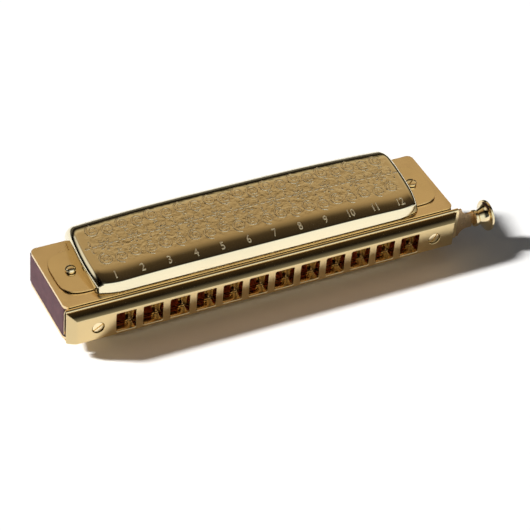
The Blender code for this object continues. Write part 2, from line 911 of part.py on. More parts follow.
# Cover fasteners: at the left the nut is on top, at the right the screw's head
for side, word in zip(ends(), ("left", "right")):
    head = -1 if side < 0 else 1
    radius = cover_screw_head / 2
    shank = cover_screw_shank / 2
    under = tab_top + seat
    over = under + cover_screw_head_height
    bore_end = under + cover_nut_height - 2 * seat
    tip = bore_end - seat
    place = (side * cover_screw_x, cover_screw_y, 0)
    profile = [
        (head * over, 0),
        (head * over, radius * 0.45),
        (head * (over - 0.12 * mm), radius * 0.75),
        (head * (over - 0.45 * mm), radius * 0.97),
        (head * (over - 0.65 * mm), radius),
        (head * under, radius),
        (head * under, shank),
        (-head * tip, shank),
        (-head * tip, 0),
    ]
    bm = bmesh.new()
    turned(bm, profile, place, "z")
    piece("cover_screw_" + word, bm, bright_plate)
    crown = under + cover_nut_height
    dome = []
    for step in range(7):
        angle = math.pi / 2 * step / 6
        height = 0.85 * mm * math.cos(angle)
        dome.append((-head * (crown - 0.85 * mm + height), radius * math.sin(angle)))
    profile = dome + [
        (-head * under, radius),
        (-head * under, shank + seat),
        (-head * bore_end, shank + seat),
        (-head * bore_end, 0),
    ]
    bm = bmesh.new()
    turned(bm, profile, place, "z")
    piece("cover_nut_" + word, bm, bright_plate)

# Button: a ring, a waist and a bell, slotted for the slide's tang
ring = button_ring / 2
waist = button_waist / 2
bell = button_bell / 2
ring_end = button_ring_length
profile = [(0, 0), (0, ring - 0.25 * mm), (0.2 * mm, ring), (ring_end - 0.25 * mm, ring)]
profile.append((ring_end, ring - 0.3 * mm))
flare_start = ring_end + 0.3 * mm
flare_end = button_length - 0.85 * mm
steps = 7
for step in range(steps + 1):
    angle = math.pi / 2 * step / steps
    along = flare_start + (flare_end - flare_start) * math.sin(angle)
    profile.append((along, waist + (bell - waist) * (1 - math.cos(angle))))
for angle in (45, 90, 135):
    turn_angle = math.radians(angle)
    along = flare_end + 0.4 * mm * (1 - math.cos(turn_angle))
    profile.append((along, bell - 0.1 * mm + 0.2 * mm * math.sin(turn_angle)))
profile.append((button_length - button_crown * 0.5, bell * 0.8))
profile.append((button_length - button_crown * 0.15, bell * 0.45))
profile.append((button_length, 0))
bm = bmesh.new()
turned(bm, profile, (button_start, slide_middle, 0), "x", 28)
button = piece("button", bm, bright_plate)
bm = bmesh.new()
outline = plain(
    button_start - 1 * mm,
    tongue_end + tang_length + seat,
    -tang - seat,
    tang + seat,
)
prism(bm, outline, "y", slide_front - seat, slide_back + seat)
tang_way = guide("tang_way", bm)
combine(button, tang_way)
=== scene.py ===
import json
import math
import bmesh
import bpy
from mathutils import Matrix, Vector


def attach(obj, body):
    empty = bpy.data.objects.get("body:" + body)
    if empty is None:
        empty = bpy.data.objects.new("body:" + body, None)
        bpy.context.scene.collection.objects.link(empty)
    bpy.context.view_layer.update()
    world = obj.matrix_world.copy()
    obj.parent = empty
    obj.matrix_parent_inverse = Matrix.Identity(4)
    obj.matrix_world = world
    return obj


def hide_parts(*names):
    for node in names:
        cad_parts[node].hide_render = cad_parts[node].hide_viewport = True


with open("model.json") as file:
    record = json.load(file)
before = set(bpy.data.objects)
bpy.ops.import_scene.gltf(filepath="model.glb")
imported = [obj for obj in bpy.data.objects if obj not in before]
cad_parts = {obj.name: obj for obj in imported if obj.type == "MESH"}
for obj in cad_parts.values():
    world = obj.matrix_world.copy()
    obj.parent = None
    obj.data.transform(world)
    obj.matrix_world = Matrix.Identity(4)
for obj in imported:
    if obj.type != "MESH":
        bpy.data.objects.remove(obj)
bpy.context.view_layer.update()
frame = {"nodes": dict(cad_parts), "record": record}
mm = 0.001

# The harmonica is drawn in its own axes, in millimetres: X along the holes, Y back from
# the lips, Z up from the middle of the comb. Then it is laid on the flat of its lower cover.
tilt = math.radians(10.2)
lieAt = Vector((0, -0.0236813, 0.0108724))
layDown = Matrix.Translation(lieAt) @ Matrix.Rotation(tilt, 4, "X")

# The playing holes go through the mouthpiece and through the channel behind it
holes = {"count": 12, "pitch": 9.4, "width": 6.8, "height": 7.6, "corner": 0.45, "steps": 3}


def holeX(index):
    return (index - (holes["count"] - 1) / 2) * holes["pitch"]


def loose(name, data):
    thing = bpy.data.objects.new(name, data)
    bpy.context.scene.collection.objects.link(thing)
    return thing


shot = {
    "place": (-0.266907, -0.573188, 0.389902),
    "ahead": (0.370311, 0.769332, -0.520584),
    "right": (0.898559, -0.438754, -0.009222),
    "lens": 148.9,
    "film": 36,
    "near": 0.01,
    "far": 20,
}
cameraData = bpy.data.cameras.new("camera")
cameraData.lens = shot["lens"]
cameraData.sensor_width = shot["film"]
cameraData.clip_start = shot["near"]
cameraData.clip_end = shot["far"]
camera = loose("camera", cameraData)
ahead = Vector(shot["ahead"]).normalized()
right = Vector(shot["right"]).normalized()
axes = Matrix((right, right.cross(ahead), -ahead)).transposed().to_4x4()
camera.matrix_world = Matrix.Translation(shot["place"]) @ axes
bpy.context.scene.camera = camera
bpy.context.scene.view_settings.view_transform = "Standard"


# Short hand for wiring a node tree. What is fed to a slot is a socket or a plain value.
class Tree:
    def __init__(self, tree):
        self.tree = tree

    def add(self, kind, **settings):
        node = self.tree.nodes.new(kind)
        for key, value in settings.items():
            setattr(node, key, value)
        return node

    def join(self, source, target):
        self.tree.links.new(source, target)

    def feed(self, target, value):
        if isinstance(value, bpy.types.NodeSocket):
            self.join(value, target)
        else:
            target.default_value = value

    def made(self, kind, inputs, **settings):
        node = self.add(kind, **settings)
        for key, value in inputs.items():
            self.feed(node.inputs[key], value)
        return node.outputs

    def maths(self, operation, first, second=None, clamp=False):
        inputs = {0: first} if second is None else {0: first, 1: second}
        return self.made("ShaderNodeMath", inputs, operation=operation, use_clamp=clamp)[0]

    def vector(self, x=0.0, y=0.0, z=0.0):
        return self.made("ShaderNodeCombineXYZ", {0: x, 1: y, 2: z})[0]

    def parts(self, vector):
        return self.made("ShaderNodeSeparateXYZ", {0: vector})

    def ramp(self, value, stops):
        node = self.add("ShaderNodeValToRGB")
        while len(node.color_ramp.elements) < len(stops):
            node.color_ramp.elements.new(0.5)
        for element, (place, colour) in zip(node.color_ramp.elements, stops):
            element.position = place
            element.color = (*colour, 1)
        self.feed(node.inputs[0], value)
        return node.outputs[0]

    def mixColour(self, share, first, second, blend="MIX"):
        inputs = {0: share, 6: first, 7: second}
        return self.made("ShaderNodeMix", inputs, data_type="RGBA", blend_type=blend)[2]

    def noise(self, vector, scale, detail=3.0, roughness=0.5):
        inputs = {"Vector": vector, "Scale": scale, "Detail": detail, "Roughness": roughness}
        return self.made("ShaderNodeTexNoise", inputs)["Fac"]


sun = {"strength": 6.3, "spread": 8.0, "from": (-1.24, 0.56, 1.0), "colour": (1.0, 0.99, 0.97)}

# What the metal mirrors. The cards are stops on a half turn over the instrument:
# 0 is level at the back, 0.5 straight up and 1 level at the front.
studio = {
    "fill": 0.092,
    "fillColour": (0.97, 0.98, 1.0, 1),
    "backdrop": 1.0,
    "cards": [
        (0.00, (0.60, 0.59, 0.56)),
        (0.03, (0.30, 0.29, 0.26)),
        (0.055, (0.012, 0.010, 0.007)),
        (0.095, (0.17, 0.15, 0.12)),
        (0.13, (0.012, 0.010, 0.007)),
        (0.215, (0.014, 0.010, 0.006)),
        (0.28, (0.55, 0.46, 0.29)),
        (0.32, (0.62, 0.48, 0.30)),
        (0.37, (0.46, 0.33, 0.18)),
        (0.43, (0.41, 0.285, 0.145)),
        (0.485, (0.06, 0.04, 0.02)),
        (0.60, (0.012, 0.010, 0.008)),
        (0.69, (0.42, 0.42, 0.40)),
        (0.80, (1.0, 1.08, 1.12)),
        (1.00, (1.0, 1.08, 1.12)),
    ],
    # the cards end at the sides, measured from a middle that lies to the right
    "middle": 0.15,
    "sides": [(0.52, (1, 1, 1)), (0.80, (0.06, 0.06, 0.06))],
    # a soft card where the sun stands
    "keyCard": [(0.955, (0, 0, 0)), (0.985, (0.8, 0.776, 0.72))],
}
world = bpy.data.worlds.new("studio")
bpy.context.scene.world = world
world.use_nodes = True
world.node_tree.nodes.clear()
sky = Tree(world.node_tree)
where = sky.add("ShaderNodeTexCoord").outputs["Generated"]
across, back, up = sky.parts(where)
halfTurn = sky.maths("DIVIDE", sky.maths("ARCTAN2", up, back), math.pi)
sideways = sky.maths("ABSOLUTE", sky.maths("SUBTRACT", across, studio["middle"]))
cards = sky.mixColour(
    1.0, sky.ramp(halfTurn, studio["cards"]), sky.ramp(sideways, studio["sides"]), "MULTIPLY"
)
toSun = {0: where, 1: Vector(sun["from"]).normalized()}
towardsSun = sky.made("ShaderNodeVectorMath", toSun, operation="DOT_PRODUCT")["Value"]
cards = sky.mixColour(1.0, cards, sky.ramp(towardsSun, studio["keyCard"]), "ADD")
ray = sky.add("ShaderNodeLightPath").outputs
seenRay = sky.maths("MAXIMUM", ray["Is Camera Ray"], ray["Is Transmission Ray"])


def background(colour, strength):
    return sky.made("ShaderNodeBackground", {0: colour, 1: strength})[0]


def either(share, first, second):
    return sky.made("ShaderNodeMixShader", {0: share, 1: first, 2: second})[0]


fill = background(studio["fillColour"], studio["fill"])
unseen = either(ray["Is Glossy Ray"], fill, background(cards, 1.0))
shown = either(seenRay, unseen, background((1, 1, 1, 1), studio["backdrop"]))
sky.join(shown, sky.add("ShaderNodeOutputWorld").inputs[0])


def newMaterial(name):
    material = bpy.data.materials.new(name)
    material.use_nodes = True
    return material, Tree(material.node_tree), material.node_tree.nodes["Principled BSDF"]


ground = {"size": 3.0, "colour": (0.82, 0.82, 0.82, 1), "roughness": 0.9, "drop": 0.05 * mm}
bm = bmesh.new()
bmesh.ops.create_grid(bm, x_segments=1, y_segments=1, size=ground["size"])
groundMesh = bpy.data.meshes.new("ground")
bm.to_mesh(groundMesh)
bm.free()
groundPiece = loose("ground", groundMesh)
groundPiece.location = (0, 0, -ground["drop"])
groundMaterial, wires, shader = newMaterial("ground")
shader.inputs["Base Color"].default_value = ground["colour"]
shader.inputs["Roughness"].default_value = ground["roughness"]
shader.inputs["Specular IOR Level"].default_value = 0.0
groundMesh.materials.append(groundMaterial)

keyData = bpy.data.lights.new("key", "SUN")
keyData.energy = sun["strength"]
keyData.angle = math.radians(sun["spread"])
keyData.color = sun["colour"]
keyLamp = loose("key", keyData)
keyLamp.rotation_euler = Vector(sun["from"]).to_track_quat("Z", "Y").to_euler()
keyLamp.visible_glossy = False

# Warm light that the plated front throws back on the ground, and into the holes
bounce = {"power": 0.0006, "length": 0.135, "colour": (1.0, 0.56, 0.22)}
for name, spot, aim, width, share in (
    ("bounceDown", (0.0, -0.0275, 0.008), (0, 0, 1), 0.005, 1.0),
    ("bounceIn", (0.0, -0.052, 0.0045), (0, -1, -0.35), 0.008, 12.0),
):
    data = bpy.data.lights.new(name, "AREA")
    data.shape = "RECTANGLE"
    data.size = bounce["length"]
    data.size_y = width
    data.energy = bounce["power"] * share
    data.color = bounce["colour"]
    lamp = loose(name, data)
    turn = Vector(aim).to_track_quat("Z", "Y").to_matrix().to_4x4()
    lamp.matrix_world = Matrix.Translation(spot) @ turn
    lamp.visible_glossy = False
    lamp.visible_camera = False
print("studio ready")

# Polishing lines along the instrument, faint smears, and a cloudy tone
polish = {
    "stretch": (0.08, 1.0, 1.0),
    "lines": 2600,
    "clouds": 90,
    "broad": 28,
    "clean": 0.42,
    "smearGain": 3.0,
    "lineRough": 0.05,
    "lowTone": 0.9,
    "toneSpan": 0.2,
    "dark": 0.86,
    "depth": 0.00002,
}
wearGroup = bpy.data.node_groups.new("polishWear", "ShaderNodeTree")
for label, way in (
    ("Rough", "INPUT"),
    ("Smear", "INPUT"),
    ("Rough", "OUTPUT"),
    ("Height", "OUTPUT"),
    ("Tone", "OUTPUT"),
):
    wearGroup.interface.new_socket(label, in_out=way, socket_type="NodeSocketFloat")
wear = Tree(wearGroup)
wearIn, wearOut = wear.add("NodeGroupInput").outputs, wear.add("NodeGroupOutput").inputs
coords = wear.add("ShaderNodeTexCoord").outputs["Object"]
stretched = wear.made("ShaderNodeMapping", {"Vector": coords, "Scale": polish["stretch"]})[0]
lines = wear.noise(stretched, polish["lines"], 2.0, 0.6)
cloudy = wear.noise(coords, polish["clouds"], 3.0, 0.55)
broad = wear.noise(coords, polish["broad"], 2.0, 0.5)
dirt = wear.maths("SUBTRACT", cloudy, polish["clean"], clamp=True)
smear = wear.maths("MULTIPLY", dirt, wearIn["Smear"])
smeared = wear.maths("ADD", wearIn["Rough"], wear.maths("MULTIPLY", smear, polish["smearGain"]))
lineRough = wear.maths("MULTIPLY", wear.maths("SUBTRACT", lines, 0.5), polish["lineRough"])
tone = wear.maths("ADD", polish["lowTone"], wear.maths("MULTIPLY", broad, polish["toneSpan"]))
wear.join(wear.maths("ADD", smeared, lineRough, clamp=True), wearOut["Rough"])
wear.join(lines, wearOut["Height"])
wear.join(tone, wearOut["Tone"])


def addBump(wires, shader, height, strength, distance):
    inputs = {"Height": height, "Strength": strength, "Distance": distance}
    if shader.inputs["Normal"].is_linked:
        inputs["Normal"] = shader.inputs["Normal"].links[0].from_socket
    wires.join(wires.made("ShaderNodeBump", inputs)[0], shader.inputs["Normal"])


def metal(name, colour, rough, smear, bump=0.05):
    material, wires, shader = newMaterial(name)
    shader.inputs["Metallic"].default_value = 1.0
    effect = wires.made("ShaderNodeGroup", {"Rough": rough, "Smear": smear}, node_tree=wearGroup)
    darker = tuple(part * polish["dark"] for part in colour)
    toned = wires.ramp(effect["Tone"], [(polish["lowTone"], darker), (1.0, colour)])
    wires.join(toned, shader.inputs["Base Color"])
    wires.join(effect["Rough"], shader.inputs["Roughness"])
    addBump(wires, shader, effect["Height"], bump, polish["depth"])
    return material


# Fine punched ground between the ornament, fading out before the plain margins.
# Its middle is given in the laid-down object's coordinates, turned level.
punched = {
    "middle": (Matrix.Rotation(-tilt, 3, "X") @ lieAt).y + 0.0221,
    "halfX": 0.0562,
    "halfY": 0.0094,
    "fade": 450,
    "dots": 1500,
    "dotShare": 0.35,
    "swirls": 520,
    "swirlShare": 0.65,
    "depth": 0.0003,
}


def punchGround(material):
    wires = Tree(material.node_tree)
    shader = material.node_tree.nodes["Principled BSDF"]
    coords = wires.add("ShaderNodeTexCoord").outputs["Object"]
    level = wires.made("ShaderNodeMapping", {"Vector": coords, "Rotation": (-tilt, 0, 0)})[0]
    x, y, z = wires.parts(level)
    along = wires.maths("ABSOLUTE", x)
    across = wires.maths("ABSOLUTE", wires.maths("SUBTRACT", y, punched["middle"]))

    def inside(half, far):
        room = wires.maths("SUBTRACT", half, far)
        return wires.maths("MULTIPLY", room, punched["fade"], clamp=True)

    mask = wires.maths("MULTIPLY", inside(punched["halfX"], along), inside(punched["halfY"], across))
    dots = wires.noise(coords, punched["dots"], 2.0, 0.7)
    swirls = wires.noise(coords, punched["swirls"], 1.0, 0.4)
    relief = wires.maths(
        "ADD",
        wires.maths("MULTIPLY", dots, punched["dotShare"]),
        wires.maths("MULTIPLY", swirls, punched["swirlShare"]),
    )
    height = wires.maths("MULTIPLY", wires.maths("SUBTRACT", relief, 0.5), mask)
    addBump(wires, shader, height, 1.0, punched["depth"])


# Stained wood: fibres along the comb and fine pores. The chambers are cut after
# staining, so the wood is redder and lighter inside.
wood = {
    "stretch": (0.06, 1.0, 1.0),
    "fibres": 1500,
    "fibreShare": 0.6,
    "rings": 240,
    "ringShare": 0.4,
    "tones": [
        (0.32, (0.034, 0.009, 0.014)),
        (0.52, (0.062, 0.021, 0.028)),
        (0.70, (0.092, 0.037, 0.043)),
    ],
    "cutEnd": 0.0700,
    "cutBack": 0.0095,
    "cutTones": ((0.42, 0.07, 0.025, 1), (0.80, 0.25, 0.08, 1)),
    "rough": 0.42,
    "roughSpan": 0.3,
    "specular": 0.3,
    "bump": 0.35,
    "depth": 0.00008,
}


def stainedWood():
    material, wires, shader = newMaterial("stainedWood")
    coords = wires.add("ShaderNodeTexCoord").outputs["Object"]
    mapping = {"Vector": coords, "Rotation": (-tilt, 0, 0), "Scale": wood["stretch"]}
    grain = wires.made("ShaderNodeMapping", mapping)[0]
    fibres = wires.noise(grain, wood["fibres"], 4.0, 0.65)
    rings = wires.noise(grain, wood["rings"], 2.0, 0.5)
    blend = wires.maths(
        "ADD",
        wires.maths("MULTIPLY", fibres, wood["fibreShare"]),
        wires.maths("MULTIPLY", rings, wood["ringShare"]),
    )
    x, y, z = wires.parts(coords)
    fromEnd = wires.maths("SUBTRACT", wood["cutEnd"], wires.maths("ABSOLUTE", x))
    fromBack = wires.maths("SUBTRACT", wood["cutBack"], y)
    cutFace = wires.maths(
        "MULTIPLY",
        wires.maths("GREATER_THAN", fromEnd, 0.0),
        wires.maths("GREATER_THAN", fromBack, 0.0),
    )
    stained = wires.ramp(blend, wood["tones"])
    cut = wires.mixColour(fibres, *wood["cutTones"])
    wires.join(wires.mixColour(cutFace, stained, cut), shader.inputs["Base Color"])
    rough = wires.maths("ADD", wood["rough"], wires.maths("MULTIPLY", fibres, wood["roughSpan"]))
    wires.join(rough, shader.inputs["Roughness"])
    shader.inputs["Specular IOR Level"].default_value = wood["specular"]
    addBump(wires, shader, fibres, wood["bump"], wood["depth"])
    return material


soft = {"dark": 0.7, "roughSpan": 0.15, "bump": 0.3}


def softMaterial(name, colour, rough, grain, depth):
    material, wires, shader = newMaterial(name)
    speckle = wires.noise(wires.add("ShaderNodeTexCoord").outputs["Object"], grain, 3.0, 0.6)
    dark = tuple(part * soft["dark"] for part in colour)
    wires.join(wires.ramp(speckle, [(0.3, dark), (0.7, colour)]), shader.inputs["Base Color"])
    uneven = wires.maths("ADD", rough, wires.maths("MULTIPLY", speckle, soft["roughSpan"]))
    wires.join(uneven, shader.inputs["Roughness"])
    addBump(wires, shader, speckle, soft["bump"], depth)
    return material


# Metals have a colour, a roughness and how much smear they carry
finishes = {
    "cover": metal("coverPlating", (0.90, 0.81, 0.57), 0.10, 0.06),
    "engraved": metal("engravedPlating", (0.97, 0.86, 0.62), 0.26, 0.1, bump=0.1),
    "tab": metal("tabPlating", (0.86, 0.66, 0.37), 0.16, 0.08),
    # the hole numbers get a paler colour than the cover's plating: a painted highlight for the light
    # their raised strokes catch; their higher roughness is the finish's own
    "figure": metal("figurePaintedHighlight", (1.0, 0.92, 0.72), 0.52, 0.05),
    "mouth": metal("mouthpiecePlating", (0.68, 0.53, 0.28), 0.10, 0.06),
    "plate": metal("reedPlateBrass", (0.90, 0.69, 0.40), 0.20, 0.12, bump=0.12),
    "strip": metal("stripBrass", (0.95, 0.75, 0.42), 0.12, 0.08),
    "slide": metal("slidePlating", (0.66, 0.46, 0.26), 0.2, 0.1, bump=0.12),
    "fastener": metal("fastenerPlating", (0.92, 0.78, 0.50), 0.12, 0.08),
    "button": metal("buttonPlating", (0.82, 0.68, 0.42), 0.08, 0.05),
    "spring": metal("springSteel", (0.62, 0.60, 0.57), 0.25, 0.1),
    "wood": stainedWood(),
    "rubber": softMaterial("bumperRubber", (0.04, 0.04, 0.042), 0.65, 2500, 0.00003),
    "film": softMaterial("valveFilm", (0.80, 0.74, 0.60), 0.35, 1800, 0.00002),
}
punchGround(finishes["cover"])

slotFinish = {
    "stained_wood": "wood",
    "reed_brass": "plate",
    "cover_plating": "cover",
    "mouthpiece_plating": "mouth",
    "fastener_plating": "fastener",
    "strip_brass": "strip",
    "slide_plating": "slide",
    "button_plating": "button",
    "bumper_rubber": "rubber",
    "spring_steel": "spring",
    "valve_film": "film",
}
nodeSlot = {row["node"]: row["material_slot"] for row in frame["record"]["subparts"]}
for node, thing in frame["nodes"].items():
    finish = finishes[slotFinish[nodeSlot[node]]]
    if thing.data.materials:
        thing.data.materials[0] = finish
    else:
        thing.data.materials.append(finish)
print("materials on", len(frame["nodes"]), "frame nodes")


# Lay down a mesh that is drawn in the instrument's axes, and let it ride on its body
def place(name, mesh, body, *stands, slot=None):
    mesh.transform(layDown)
    mesh.update()
    thing = loose(name, mesh)
    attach(thing, body)
    if stands:
        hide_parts(*stands)


# The evaluated mesh of an object, which is then removed
def baked(thing):
    graph = bpy.context.evaluated_depsgraph_get()
    graph.update()
    mesh = bpy.data.meshes.new_from_object(thing.evaluated_get(graph), depsgraph=graph)
    mesh.name = thing.name
    bpy.data.objects.remove(thing)
    return mesh


def smoothed(mesh, sharp):
    mesh.shade_smooth()
    mesh.set_sharp_from_angle(angle=math.radians(sharp))


def inMetres(mesh):
    mesh.transform(Matrix.Scale(mm, 4))
    return mesh


def toMesh(bm, name, material=None, sharp=35):
    bmesh.ops.recalc_face_normals(bm, faces=bm.faces)
    mesh = bpy.data.meshes.new(name)
    bm.to_mesh(mesh)
    bm.free()
    smoothed(mesh, sharp)
    if material:
        mesh.materials.append(material)
    return inMetres(mesh)


def holeOutline(index):
    x, across, up, radius = holeX(index), holes["width"] / 2, holes["height"] / 2, holes["corner"]
    corners = (
        (x + across - radius, up - radius, 0),
        (x - across + radius, up - radius, 90),
        (x - across + radius, -up + radius, 180),
        (x + across - radius, -up + radius, 270),
    )
    outline = []
    for centreX, centreZ, start in corners:
        for step in range(holes["steps"] + 1):
            angle = math.radians(start + 90 * step / holes["steps"])
            outline.append((centreX + radius * math.cos(angle), centreZ + radius * math.sin(angle)))
    return outline


def prism(bm, outline, axis, low, high):
    spot = {
        "x": lambda a, b: (low, a, b),
        "y": lambda a, b: (a, low, b),
        "z": lambda a, b: (a, b, low),
    }[axis]
    base = bm.faces.new([bm.verts.new(spot(a, b)) for a, b in outline])
    pushed = bmesh.ops.extrude_face_region(bm, geom=[base])
    moved = [item for item in pushed["geom"] if isinstance(item, bmesh.types.BMVert)]
    shift = Vector([high - low if axis == letter else 0 for letter in "xyz"])
    bmesh.ops.translate(bm, verts=moved, vec=shift)


# Turn a profile of (along, out) about an axis through a centre
def lathe(bm, profile, centre, axis, steps):
    along = Vector([1 if axis == letter else 0 for letter in "xyz"])
    across = Vector((0, 0, 1)) if axis != "z" else Vector((1, 0, 0))
    ring = [bm.verts.new(Vector(centre) + along * far + across * out) for far, out in profile]
    edges = [bm.edges.new(pair) for pair in zip(ring, ring[1:])]
    bmesh.ops.spin(
        bm, geom=ring + edges, cent=centre, axis=along, angle=math.tau, steps=steps, use_merge=True
    )
    bmesh.ops.remove_doubles(bm, verts=bm.verts, dist=1e-6)


rounding = {"segments": 3, "weight": 80}


# Cut one solid out of another, and round the edges sharper than an angle
def carved(name, finish, solid, cut, roundWidth=0.0, roundAngle=0.0):
    thing = loose(name, toMesh(solid, name, finish))
    cutter = loose("cutter", toMesh(cut, "cutter"))
    step = thing.modifiers.new("cut", "BOOLEAN")
    step.operation = "DIFFERENCE"
    step.object = cutter
    step.solver = "EXACT"
    if roundWidth:
        edge = thing.modifiers.new("soften", "BEVEL")
        edge.width = roundWidth * mm
        edge.segments = rounding["segments"]
        edge.limit_method = "ANGLE"
        edge.angle_limit = math.radians(roundAngle)
        edge.use_clamp_overlap = True
        edge.harden_normals = True
        even = thing.modifiers.new("even", "WEIGHTED_NORMAL")
        even.keep_sharp = False
        even.weight = rounding["weight"]
    mesh = baked(thing)
    bpy.data.objects.remove(cutter)
    return mesh


mouth = {
    "end": 71.1,
    "depth": 3.45,
    "faceHalf": 4.7,
    "backHalf": 6.33,
    "endBevel": 2.45,
    "crown": 0.16,
    "crownEnd": 0.6,
    "sections": 10,
    "screwX": 61.3,
    "recess": 2.15,
    "recessDepth": 2.0,
    "bore": 1.1,
    "cut": (-1, 5),
    "round": 0.16,
    "roundAngle": 32,
}


def mouthpieceMesh():
    # crowned slopes: sections from the back to the front face
    bar = bmesh.new()
    rings = []
    for step in range(mouth["sections"] + 1):
        share = step / mouth["sections"]
        depth = mouth["depth"] * (1 - share)
        bulge = mouth["crown"] * 4 * share * (1 - share)
        half = mouth["backHalf"] + (mouth["faceHalf"] - mouth["backHalf"]) * share + bulge
        end = mouth["end"] - mouth["endBevel"] * share + bulge * mouth["crownEnd"]
        corners = ((-end, -half), (end, -half), (end, half), (-end, half))
        rings.append([bar.verts.new((a, depth, b)) for a, b in corners])
    for left, right in zip(rings, rings[1:]):
        for k in range(4):
            bar.faces.new((left[k], left[(k + 1) % 4], right[(k + 1) % 4], right[k]))
    bar.faces.new(rings[0])
    bar.faces.new(rings[-1])
    cut = bmesh.new()
    low, high = mouth["cut"]
    for index in range(holes["count"]):
        prism(cut, holeOutline(index), "y", low, high)
    wide, stop, bore = mouth["recess"], mouth["recessDepth"], mouth["bore"]
    profile = [(low, 0), (low, wide), (stop, wide), (stop, bore), (high, bore), (high, 0)]
    for side in (-1, 1):
        lathe(cut, profile, (side * mouth["screwX"], 0, 0), "y", 40)
    return carved("mouthpieceBar", finishes["mouth"], bar, cut, mouth["round"], mouth["roundAngle"])


place("mouthpiece_bar", mouthpieceMesh(), "body", "mouthpiece")
print("mouthpiece ready")

# The covers are rolled sheets: an upright foot with a crease, a shoulder, the flat field,
# and a wide curve down to a lip at the rear. The field drops and narrows towards the ends.
cover = {
    "inset": 0.1,
    "front": 5.85,
    "footStep": 0.22,
    "footRise": 0.3,
    "wallRises": (0.42, 1.8, 3.0),
    "rim": 7.35,
    "creaseHeight": 3.95,
    "creaseLean": 0.75,
    "creaseRound": 0.35,
    "creaseSteps": 6,
    "shoulderDepth": 7.2,
    "shoulderRise": 2.23,
    "shoulderSteps": 14,
    "fieldShares": (0.08, 0.25, 0.5, 0.75, 0.92),
    "rearRadius": 8.0,
    "rearLine": 38.38,
    "rearTurn": 50,
    "rearSteps": 22,
    "rearRoll": 1.0,
    "rollSteps": 8,
    "lip": 0.35,
    "end": 59.6,
    "bendSteps": 18,
    "columns": (3.6, 4.3, 5.2, 6.2, 7.4, 8.8, 10.4, 12.4, 15, 18, 22, 27, 33, 41, 50),
    "arch": 0.9,
    "archRun": 32.0,
    "rearArch": 1.6,
    "rearArchRun": 45.0,
    "pinch": 1.9,
    "pinchRun": 10.0,
    "bow": 1.3,
    "bowRun": 22.0,
    "bowFrom": 6.6,
    "bowTo": 36.15,
    "corner": 0.9,
    "sheet": 0.45,
    "shellSheet": 0.35,
    "sharp": 60,
    "screwX": 62.6,
    "screwY": 20.75,
}


def slope(angle):
    return Vector((math.cos(angle), math.sin(angle)))


def upright(angle):
    return Vector((-math.sin(angle), math.cos(angle)))


# (depth, height over the rim) from the front rim over the field to the rear lip
def coverSection():
    crease = Vector((cover["front"] + cover["creaseLean"], cover["creaseHeight"]))
    start = crease + Vector((cover["shoulderDepth"], cover["shoulderRise"]))
    rearCentreY = cover["rearLine"] - cover["rearRadius"]
    fieldEndY = rearCentreY - cover["rearRadius"] * math.sin(tilt)
    fieldEnd = start + slope(tilt) * ((fieldEndY - start.x) / math.cos(tilt))
    span = start - crease
    chord = math.atan2(span.y, span.x)
    first = 2 * chord - tilt
    radius = span.length / (2 * math.sin((first - tilt) / 2))
    centre = start - radius * upright(tilt)
    shoulder = []
    for step in range(cover["shoulderSteps"] + 1):
        angle = first + (tilt - first) * step / cover["shoulderSteps"]
        shoulder.append(centre + radius * upright(angle))
    base = Vector((cover["front"], 0))
    wall = (crease - base).normalized()
    leave = (shoulder[1] - shoulder[0]).normalized()
    bend = cover["creaseRound"]
    foot = base + Vector((cover["footStep"], 0))
    points = [foot, foot + wall * cover["footRise"]]
    points += [base + wall * rise for rise in cover["wallRises"]]
    for step in range(cover["creaseSteps"] + 1):
        share = step / cover["creaseSteps"]
        near = crease - wall * bend * (1 - share)
        far = crease + leave * bend * share
        points.append(near.lerp(far, share))
    points += shoulder[2:]
    points += [start.lerp(fieldEnd, share) for share in cover["fieldShares"]]
    points.append(fieldEnd)
    turn = -math.radians(cover["rearTurn"])
    for radius, first, stop, steps in (
        (cover["rearRadius"], tilt, turn, cover["rearSteps"]),
        (cover["rearRoll"], turn, -math.pi / 2, cover["rollSteps"]),
    ):
        centre = points[-1] - radius * upright(first)
        for step in range(1, steps + 1):
            angle = first + (stop - first) * step / steps
            points.append(centre + radius * upright(angle))
    for half in range(2):
        points.append(points[-1] - Vector((0, cover["lip"] * 0.5)))
    return points, crease, fieldEnd


sectionPoints, creasePoint, fieldEnd = coverSection()
# the section's points from here on are searched for the height of the top
topStart = 2 + len(cover["wallRises"]) + 2


def archDrop(fromEnd, depth):
    front = cover["arch"] * max(0, 1 - fromEnd / cover["archRun"]) ** 2
    rear = cover["rearArch"] * max(0, 1 - fromEnd / cover["rearArchRun"]) ** 2
    back = min(max((depth - creasePoint.x) / (fieldEnd.x - creasePoint.x), 0), 1)
    return front + (rear - front) * back


# (place along X, drop in the bend at the end) from the left end to the right
def coverColumns():
    bend = cover["creaseHeight"] - cover["arch"]
    half = []
    for step in range(cover["bendSteps"] + 1):
        angle = math.pi / 2 * step / cover["bendSteps"]
        half.append((bend * (1 - math.cos(angle)), bend * (1 - math.sin(angle))))
    half += [(fromEnd, 0) for fromEnd in cover["columns"]]
    left = [(fromEnd - cover["end"], drop) for fromEnd, drop in half]
    return left + [(0, 0)] + [(-along, drop) for along, drop in reversed(left)]


# Height of the outer surface over the comb's middle, for the shoulder and the field
def coverHeight(x, y):
    for low, high in zip(sectionPoints[topStart:], sectionPoints[topStart + 1:]):
        if low.x <= y <= high.x:
            share = (y - low.x) / max(high.x - low.x, 1e-6)
            level = low.y + (high.y - low.y) * share - archDrop(cover["end"] - abs(x), y)
            return cover["rim"] - cover["inset"] + level
    return cover["rim"]


